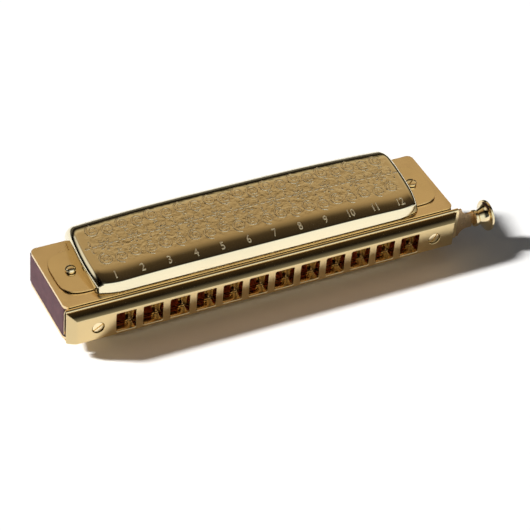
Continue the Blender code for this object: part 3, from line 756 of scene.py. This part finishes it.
# Give an open skin its inner side. What stands on the rim level stays on it.
def thicken(bm, amount, level):
    bm.normal_update()
    outer, skins = list(bm.verts), list(bm.faces)
    rims = [edge for edge in bm.edges if len(edge.link_faces) == 1]
    inner = {}
    for vert in outer:
        normal = vert.normal.copy()
        if abs(vert.co.z) < level + 1e-4:
            normal.z = 0
            normal.normalize()
        spot = vert.co - normal * amount
        if abs(spot.z) < level:
            spot.z = math.copysign(level, vert.co.z)
        inner[vert] = bm.verts.new(spot)
    for skin in skins:
        bm.faces.new([inner[vert] for vert in reversed(skin.verts)])
    for rim in rims:
        start, stop = rim.verts
        bm.faces.new((start, stop, inner[stop], inner[start]))


def coverShell(side):
    bm = bmesh.new()
    midDepth = (cover["bowFrom"] + cover["bowTo"]) / 2
    halfDepth = (cover["bowTo"] - cover["bowFrom"]) / 2
    grid = []
    for along, bendDrop in coverColumns():
        fromEnd = cover["end"] - abs(along)
        into = max(1 - fromEnd / cover["bowRun"], 0)
        near = max(1 - fromEnd / cover["corner"], 0)
        pinch = cover["pinch"] * max(1 - fromEnd / cover["pinchRun"], 0) ** 2
        cut = cover["corner"] * (1 - math.sqrt(max(1 - near * near, 0)))
        line = []
        for point in sectionPoints:
            drop = bendDrop + archDrop(fromEnd, point.x)
            if point.x <= creasePoint.x:
                fade = 1
                height = point.y * (1 - drop / cover["creaseHeight"])
            else:
                fade = max(0, 1 - (point.x - creasePoint.x) / cover["shoulderDepth"])
                height = point.y - drop
            depth = point.x + (cut + pinch) * fade
            bow = cover["bow"] * ((depth - midDepth) / halfDepth) ** 2
            reach = abs(along) - bow * into**2
            height = max(height, 0)
            height = cover["rim"] + height - cover["inset"] * min(1, height)
            line.append(bm.verts.new((math.copysign(reach, along), depth, side * height)))
        grid.append(line)

    def face(*corners):
        bm.faces.new(corners if side > 0 else tuple(reversed(corners)))

    count = len(sectionPoints)
    for left, right in zip(grid, grid[1:]):
        for k in range(count - 1):
            face(left[k], right[k], right[k + 1], left[k + 1])
    # upright end walls, from the crease back to the rear lip
    level = cover["rim"]
    last = count - 3
    for column, outward in ((grid[0], -1), (grid[-1], 1)):
        first = max(k for k in range(count // 2) if abs(column[k].co.z) < level + 1e-4)
        foot = {first: column[first]}
        for k in range(first + 1, last + 1):
            top = column[k].co
            foot[k] = bm.verts.new((top.x, top.y, side * level))
        for k in range(first, last):
            corners = [column[k], column[k + 1]]
            if k == last - 1:
                corners += [column[-2], column[-1]]
            corners.append(foot[k + 1])
            if k > first:
                corners.append(foot[k])
            face(*(corners if outward < 0 else reversed(corners)))
    thicken(bm, cover["shellSheet"], level)
    return toMesh(bm, "coverShell", finishes["cover"], cover["sharp"])


# The D-shaped tab at each end, with its screw hole
tab = {
    "end": 68.8,
    "width": 20.5,
    "middle": 20.25,
    "root": 0.9,
    "drop": 0.05,
    "square": 2 / 3.5,
    "steps": 48,
    "hole": 1.3,
    "cut": 3,
    "round": 0.12,
    "roundAngle": 40,
}


def coverTabs(side):
    tabs, cut = bmesh.new(), bmesh.new()
    rim = cover["rim"] - tab["drop"]
    root = cover["end"] - tab["root"]
    through, radius = tab["cut"], tab["hole"]
    for end in (-1, 1):
        outline = []
        for step in range(tab["steps"] + 1):
            angle = -math.pi / 2 + math.pi * step / tab["steps"]
            out = abs(math.cos(angle)) ** tab["square"] if 0 < step < tab["steps"] else 0
            over = math.copysign(abs(math.sin(angle)) ** tab["square"], math.sin(angle))
            x = end * (root + (tab["end"] - root) * out)
            outline.append((x, tab["middle"] + tab["width"] / 2 * over))
        levels = sorted((side * rim, side * (rim + cover["sheet"])))
        prism(tabs, outline, "z", *levels)
        profile = [(-through, 0), (-through, radius), (through, radius), (through, 0)]
        lathe(cut, profile, (end * cover["screwX"], cover["screwY"], side * rim), "z", 32)
    return carved("coverTabs", finishes["tab"], tabs, cut, tab["round"], tab["roundAngle"])


for side, word in ((1, "upper"), (-1, "lower")):
    place(f"cover_{word}_shell", coverShell(side), "body", f"cover_{word}")
    place(f"cover_{word}_tabs", coverTabs(side), "body", slot="cover_plating")
print("covers ready")


def joined(name, meshes):
    bm = bmesh.new()
    for mesh in meshes:
        bm.from_mesh(mesh)
    result = bpy.data.meshes.new(name)
    bm.to_mesh(result)
    bm.free()
    result.materials.append(meshes[0].materials[0])
    return inMetres(result)


# A geometry tree with its inputs, of which Finish is the material
def openTree(name, **inputs):
    tree = bpy.data.node_groups.new(name, "GeometryNodeTree")
    for way in ("INPUT", "OUTPUT"):
        tree.interface.new_socket("Geometry", in_out=way, socket_type="NodeSocketGeometry")
    for label, kind in {**inputs, "Finish": "Material"}.items():
        tree.interface.new_socket(label, in_out="INPUT", socket_type="NodeSocket" + kind)
    wires = Tree(tree)
    return wires, wires.add("NodeGroupInput").outputs


def closeTree(t, given, geometry):
    solid = t.made("GeometryNodeRealizeInstances", {0: geometry})[0]
    inputs = {"Geometry": solid, "Material": given["Finish"]}
    finished = t.made("GeometryNodeSetMaterial", inputs)[0]
    t.join(finished, t.add("NodeGroupOutput").inputs[0])
    return t.tree


# Points at even steps along X, about the middle
def rowOfPoints(t, count, step):
    half = t.maths("MULTIPLY", t.maths("SUBTRACT", count, 1.0), -0.5)
    start = t.vector(t.maths("MULTIPLY", half, step))
    inputs = {"Count": count, "Start Location": start, "Offset": t.vector(step)}
    return t.made("GeometryNodeMeshLine", inputs)[0]


# Run a geometry tree on an empty mesh and keep what it makes as a plain mesh
def grown(name, tree, material, **values):
    thing = loose(name, bpy.data.meshes.new(name))
    run = thing.modifiers.new("grow", "NODES")
    run.node_group = tree
    values["Finish"] = material
    for item in tree.interface.items_tree:
        if item.item_type == "SOCKET" and item.in_out == "INPUT" and item.name in values:
            run[item.identifier] = values[item.name]
    mesh = baked(thing)
    mesh.materials.clear()
    mesh.materials.append(material)
    return mesh


# Scrolls, leaves and rosettes raised on the field
ornament = {"lift": 0.095, "sink": 0.02, "subdivisions": 2}
scroll = {
    "middles": (16.0, 28.3),
    "count": 21,
    "step": 5.2,
    "swing": 0.35,
    "radius": 2.5,
    "startRadius": 0.35,
    "turns": 1.75,
    "stroke": 0.78,
    "thin": 0.45,
    "steps": 13,
    "sides": 6,
    "sizes": (0.92, 1.06),
    "seed": 7,
}


# A spiral stroke that widens outwards, repeated with every other one flipped
def scrollTree():
    t, given = openTree("scrolls", Count="Int", Step="Float", Seed="Int")
    spiral = t.made(
        "GeometryNodeCurveSpiral",
        {
            "Resolution": scroll["steps"],
            "Rotations": scroll["turns"],
            "Start Radius": scroll["startRadius"],
            "End Radius": scroll["radius"],
            "Height": 0.0,
        },
    )[0]
    share = t.add("GeometryNodeSplineParameter").outputs["Factor"]
    widening = t.maths("ADD", scroll["thin"], t.maths("MULTIPLY", share, 1 - scroll["thin"]))
    circle = {"Resolution": scroll["sides"], "Radius": scroll["stroke"] / 2}
    section = t.made("GeometryNodeCurvePrimitiveCircle", circle)[0]
    sweep = {"Curve": spiral, "Profile Curve": section, "Scale": widening, "Fill Caps": True}
    stroke = t.made("GeometryNodeCurveToMesh", sweep)[0]
    odd = t.maths("MODULO", t.add("GeometryNodeInputIndex").outputs[0], 2.0)
    sign = t.maths("SUBTRACT", 1.0, t.maths("MULTIPLY", odd, 2.0))
    offset = t.vector(y=t.maths("MULTIPLY", sign, scroll["swing"]))
    row = rowOfPoints(t, given["Count"], given["Step"])
    moved = t.made("GeometryNodeSetPosition", {"Geometry": row, "Offset": offset})[0]
    low, high = scroll["sizes"]
    limits = {2: low, 3: high, "Seed": given["Seed"]}
    size = t.made("FunctionNodeRandomValue", limits, data_type="FLOAT")[1]
    scale = t.vector(size, t.maths("MULTIPLY", size, sign), 1.0)
    inputs = {"Points": moved, "Instance": stroke, "Scale": scale}
    return closeTree(t, given, t.made("GeometryNodeInstanceOnPoints", inputs)[0])


# Pointed petals set round a ring, and the rings repeated along a line
def petalTree():
    t, given = openTree(
        "petals",
        Count="Int",
        Rings="Int",
        Step="Float",
        Radius="Float",
        Length="Float",
        Width="Float",
        Squeeze="Float",
    )
    inputs = {"Radius": 0.5, "Subdivisions": ornament["subdivisions"]}
    ball = t.made("GeometryNodeMeshIcoSphere", inputs)[0]
    inputs = {"Vertices": given["Count"], "Radius": given["Radius"]}
    ring = t.made("GeometryNodeMeshCircle", inputs)[0]
    x, y, z = t.parts(t.add("GeometryNodeInputPosition").outputs[0])
    inputs = {
        "Points": ring,
        "Instance": ball,
        "Rotation": t.vector(z=t.maths("ARCTAN2", y, x)),
        "Scale": t.vector(given["Length"], given["Width"], 1.0),
    }
    petals = t.made("GeometryNodeInstanceOnPoints", inputs)[0]
    inputs = {
        "Points": rowOfPoints(t, given["Rings"], given["Step"]),
        "Instance": petals,
        "Scale": t.vector(1.0, given["Squeeze"], 1.0),
    }
    return closeTree(t, given, t.made("GeometryNodeInstanceOnPoints", inputs)[0])


# Flatten a drawn pattern and lay it on the cover, with its middle at (x, y)
def pressOn(mesh, middle):
    bm = bmesh.new()
    bm.from_mesh(mesh)
    top = max(abs(vert.co.z) for vert in bm.verts)
    for vert in bm.verts:
        x, y = vert.co.x + middle[0], vert.co.y + middle[1]
        rise = vert.co.z / top
        press = rise * ornament["lift"] if rise > 0 else -ornament["sink"]
        vert.co = (x, y, coverHeight(x, y) + press)
    bm.to_mesh(mesh)
    bm.free()
    return mesh


def flipped(mesh):
    copy = mesh.copy()
    copy.transform(Matrix.Scale(-1, 4, (0, 0, 1)))
    copy.flip_normals()
    return copy


scrolls, petals = scrollTree(), petalTree()
engraved = finishes["engraved"]
patterns = []
for middle in scroll["middles"]:
    row = grown(
        "scrollRow", scrolls, engraved, Count=scroll["count"], Step=scroll["step"], Seed=scroll["seed"]
    )
    patterns.append(pressOn(row, (0, middle)))
# middle of the row; rings, their step, and each ring's radius; petal length, width and count
for middle, rings, step, radius, length, width, count, squeeze in (
    ((0, 22.2), 11, 10.0, 1.7, 2.1, 0.95, 8, 1.0),
    ((0, 22.2), 12, 10.0, 1.25, 2.0, 0.8, 4, 1.2),
    ((0, 22.2), 11, 10.0, 0.12, 0.8, 0.8, 3, 1.0),
    ((2.6, 18.6), 20, 5.2, 0.5, 1.1, 0.6, 3, 0.8),
    ((2.6, 25.7), 20, 5.2, 0.5, 1.1, 0.6, 3, 0.8),
):
    row = grown(
        "petalRow",
        petals,
        engraved,
        Rings=rings,
        Step=step,
        Radius=radius,
        Length=length,
        Width=width,
        Count=count,
        Squeeze=squeeze,
    )
    patterns.append(pressOn(row, middle))
relief = joined("ornament", patterns)
relief.shade_smooth()
for side, word in ((1, "upper"), (-1, "lower")):
    mesh = relief.copy() if side > 0 else flipped(relief)
    place(f"cover_{word}_ornament", mesh, "body", slot="cover_plating")
print("ornament faces", len(relief.polygons))

# Hole numbers, raised on the shoulder
figures = {
    "size": 2.75 / 0.7,
    "narrow": 0.8,
    "thin": -0.03,
    "extrude": 0.05,
    "bevel": 0.04,
    "curve": 3,
    "depth": 9.45,
    "lift": 0.14,
    "sink": -0.03,
}
meshes = []
for index in range(holes["count"]):
    text = bpy.data.curves.new("number", "FONT")
    text.body = str(index + 1)
    text.size = figures["size"]
    text.align_x = "CENTER"
    text.align_y = "CENTER"
    text.offset = figures["thin"]
    text.extrude = figures["extrude"]
    text.bevel_depth = figures["bevel"]
    text.resolution_u = figures["curve"]
    mesh = baked(loose("number", text))
    mesh.materials.clear()
    mesh.materials.append(finishes["figure"])
    bm = bmesh.new()
    bm.from_mesh(mesh)
    bmesh.ops.remove_doubles(bm, verts=bm.verts, dist=1e-5)
    bmesh.ops.recalc_face_normals(bm, faces=bm.faces)
    for vert in bm.verts:
        x, y = vert.co.x * figures["narrow"] + holeX(index), vert.co.y + figures["depth"]
        rise = figures["lift"] if vert.co.z > 0 else figures["sink"]
        rise *= min(1, abs(vert.co.z) / figures["extrude"])
        vert.co = (x, y, coverHeight(x, y) + rise)
    bm.to_mesh(mesh)
    bm.free()
    meshes.append(mesh)
place("hole_numbers", joined("numbers", meshes), "body", slot="cover_plating")
print("numbers ready")

# The slide's channel: a folded strip with rolled corners, open at the holes
channel = {
    "front": 3.75,
    "sheet": 0.3,
    "tip": 5.06,
    "half": 6.33,
    "fold": 1.1,
    "foldSteps": 6,
    "start": -70.8,
    "end": 72.3,
    "bore": 1.1,
    "cut": (3, 4.3),
    "sharp": 35,
}


def channelMesh():
    tip, half, sheet, fold = channel["tip"], channel["half"], channel["sheet"], channel["fold"]

    # the upper bend, from the lip to the front wall, and its twin below
    def bends(inset, radius):
        upper = []
        for step in range(channel["foldSteps"] + 1):
            angle = math.radians(90 + 90 * step / channel["foldSteps"])
            depth = channel["front"] + inset + radius + radius * math.cos(angle)
            upper.append((depth, half - inset - radius + radius * math.sin(angle)))
        return upper, [(depth, -height) for depth, height in upper]

    upper, lower = bends(0, fold)
    outline = [(tip, half)] + upper + lower[::-1]
    upper, lower = bends(sheet, fold - sheet)
    outline += [(tip, -half), (tip, -half + sheet)] + lower + upper[::-1] + [(tip, half - sheet)]
    strip, cut = bmesh.new(), bmesh.new()
    prism(strip, outline, "x", channel["start"], channel["end"])
    low, high = channel["cut"]
    for index in range(holes["count"]):
        prism(cut, holeOutline(index), "y", low, high)
    profile = [(low, 0), (low, channel["bore"]), (high, channel["bore"]), (high, 0)]
    for side in (-1, 1):
        lathe(cut, profile, (side * mouth["screwX"], 0, 0), "y", 32)
    mesh = carved("channelStrip", finishes["strip"], strip, cut)
    smoothed(mesh, channel["sharp"])
    return mesh


place("channel_strip", channelMesh(), "body", "slide_channel")
print("channel ready")

# Fasteners: their seat is the head's distance from the middle plane, or from the lips' side
fastener = {
    "slotWidth": 0.5,
    "slotDepth": 0.62,
    "noSlot": -0.5,
    "crownFit": 0.998,
    "sides": 40,
    "shankSides": 24,
    "sharp": 40,
    "cutter": 6.0,
}
mouthScrew = {"radius": 1.85, "height": 1.42, "crown": 0.12, "shank": 0.8, "length": 12.35, "seat": 1.7}
coverScrew = {"radius": 1.84, "height": 0.9, "crown": 0.3, "shank": 1.0, "length": 16.55, "seat": 8.05}
coverNut = {"radius": 1.84, "height": 1.4, "crown": 1.1, "shank": 1.3, "length": 0.05, "seat": 8.05}
plateNail = {"radius": 1.09, "height": 0.58, "crown": 0.4, "shank": 0.5, "length": 4.1, "seat": 7.05}
nailSpots = ((-57.3, 11.5), (-57.3, 30.15), (-18.8, 33.95), (57.3, 11.5), (57.3, 30.15), (18.8, 33.95))


# A head with a rim and a domed crown, a slot across it and a shank below
def fastenerTree():
    t, given = openTree(
        "fastener",
        Radius="Float",
        Height="Float",
        Rim="Float",
        Shank="Float",
        Length="Float",
        SlotDepth="Float",
        Turn="Float",
    )

    def moved(geometry, **inputs):
        return t.made("GeometryNodeTransform", {"Geometry": geometry, **inputs})[0]

    def rod(radius, depth, middle, sides):
        inputs = {"Vertices": sides, "Radius": radius, "Depth": depth}
        made = t.made("GeometryNodeMeshCylinder", inputs)["Mesh"]
        return moved(made, Translation=t.vector(z=middle))

    def combined(operation, first, *others):
        step = t.add("GeometryNodeMeshBoolean", operation=operation, solver="EXACT")
        if operation == "DIFFERENCE":
            t.join(first, step.inputs["Mesh 1"])
        else:
            others = (first, *others)
        for other in others:
            t.join(other, step.inputs["Mesh 2"])
        return step.outputs["Mesh"]

    # the crown is a ball squeezed to its height over the rim
    sides, fit, deep = fastener["sides"], fastener["crownFit"], fastener["cutter"]
    inputs = {"Segments": sides, "Rings": sides // 2, "Radius": given["Radius"]}
    ball = t.made("GeometryNodeMeshUVSphere", inputs)["Mesh"]
    rise = t.maths("SUBTRACT", given["Height"], given["Rim"])
    squeeze = t.vector(fit, fit, t.maths("DIVIDE", rise, given["Radius"]))
    crown = moved(ball, Scale=squeeze, Translation=t.vector(z=given["Rim"]))
    wide = t.maths("MULTIPLY", given["Radius"], 1.5)
    below = rod(wide, deep, -deep / 2, fastener["shankSides"])
    rim = rod(given["Radius"], given["Rim"], t.maths("MULTIPLY", given["Rim"], 0.5), sides)
    half = t.maths("MULTIPLY", given["Length"], -0.5)
    long = t.maths("ADD", given["Length"], 0.1)
    shank = rod(given["Shank"], long, half, fastener["shankSides"])
    tall = 2.0
    box = {"Size": t.vector(deep, fastener["slotWidth"], tall)}
    slot = t.made("GeometryNodeMeshCube", box)["Mesh"]
    floor = t.maths("SUBTRACT", given["Height"], given["SlotDepth"])
    middle = t.vector(z=t.maths("ADD", floor, tall / 2))
    groove = moved(slot, Translation=middle, Rotation=t.vector(z=given["Turn"]))
    head = combined("DIFFERENCE", crown, below)
    head = combined("UNION", head, rim, shank)
    return closeTree(t, given, combined("DIFFERENCE", head, groove))


fastenerNodes = fastenerTree()


# A head on its seat at spot, looking along facing, with its slot turned, or with none
def fastenerMesh(name, kind, spot, facing, turn=None):
    mesh = grown(
        name,
        fastenerNodes,
        finishes["fastener"],
        Radius=kind["radius"],
        Height=kind["height"],
        Rim=kind["height"] - kind["crown"],
        Shank=kind["shank"],
        Length=kind["length"],
        SlotDepth=fastener["noSlot"] if turn is None else fastener["slotDepth"],
        Turn=math.radians(turn or 0),
    )
    across = Vector((1, 0, 0))
    facing = Vector(facing)
    axes = Matrix((across, facing.cross(across), facing)).transposed().to_4x4()
    mesh.transform(Matrix.Translation(spot) @ axes)
    smoothed(mesh, fastener["sharp"])
    return inMetres(mesh)


for side, word, turn in ((-1, "left", 32), (1, "right", 58)):
    spot = (side * mouth["screwX"], mouthScrew["seat"], 0)
    mesh = fastenerMesh("mouthScrew", mouthScrew, spot, (0, -1, 0), turn)
    place("mouth_screw_" + word, mesh, "body", "mouthpiece_screw_" + word)
    # the right cover screw looks up and the left one down, with nuts on the other sides
    x, y = side * cover["screwX"], cover["screwY"]
    mesh = fastenerMesh("coverScrew", coverScrew, (x, y, side * coverScrew["seat"]), (0, 0, side), 35)
    place("cover_fixing_screw_" + word, mesh, "body", "cover_screw_" + word)
    mesh = fastenerMesh("coverNut", coverNut, (x, y, -side * coverNut["seat"]), (0, 0, -side))
    place("cover_fixing_nut_" + word, mesh, "body", "cover_nut_" + word)
for side, word in ((1, "upper"), (-1, "lower")):
    for number, (x, y) in enumerate(nailSpots, 1):
        mesh = fastenerMesh("plateNail", plateNail, (x, y, side * plateNail["seat"]), (0, 0, side))
        place(f"plate_pin_{word}_{number}", mesh, "body", f"plate_nail_{word}_{number}")
print("fasteners ready")

# The button: a ring on the tongue, a waist, and a bell with a rolled edge
button = {
    "start": 79.05,
    "middle": 4.75,
    "ring": [(0, 0), (0, 2.6), (0.05, 2.75), (0.18, 2.87), (0.35, 2.9), (0.95, 2.9)],
    "waist": [(1.1, 2.88), (1.2, 2.82), (1.3, 2.72), (1.42, 2.64), (1.55, 2.6)],
    "flare": (1.65, 4.75),
    "flareSteps": 16,
    "flareFrom": 2.6,
    "flareRise": 2.7,
    "flarePower": 0.85,
    "edge": 0.4,
    "edgeOut": 0.1,
    "edgeStops": range(20, 171, 15),
    "face": [(5.46, 4.8), (5.42, 3.6), (5.45, 2.3), (5.5, 1.1), (5.53, 0)],
    "steps": 72,
    "sharp": 50,
}


def buttonMesh():
    profile = button["ring"] + button["waist"]
    start, stop = button["flare"]
    for step in range(button["flareSteps"] + 1):
        angle = math.pi / 2 * step / button["flareSteps"]
        out = button["flareRise"] * (1 - math.cos(angle)) ** button["flarePower"]
        profile.append((start + (stop - start) * math.sin(angle), button["flareFrom"] + out))
    rim = button["flareFrom"] + button["flareRise"]
    for degrees in button["edgeStops"]:
        angle = math.radians(degrees)
        along = stop + button["edge"] * (1 - math.cos(angle))
        profile.append((along, rim + button["edgeOut"] * math.sin(angle)))
    bm = bmesh.new()
    centre = (button["start"], button["middle"], 0)
    lathe(bm, profile + button["face"], centre, "x", button["steps"])
    return toMesh(bm, "button", finishes["button"], button["sharp"])


place("button_bell", buttonMesh(), "slide_and_button", "button")
print("button ready")
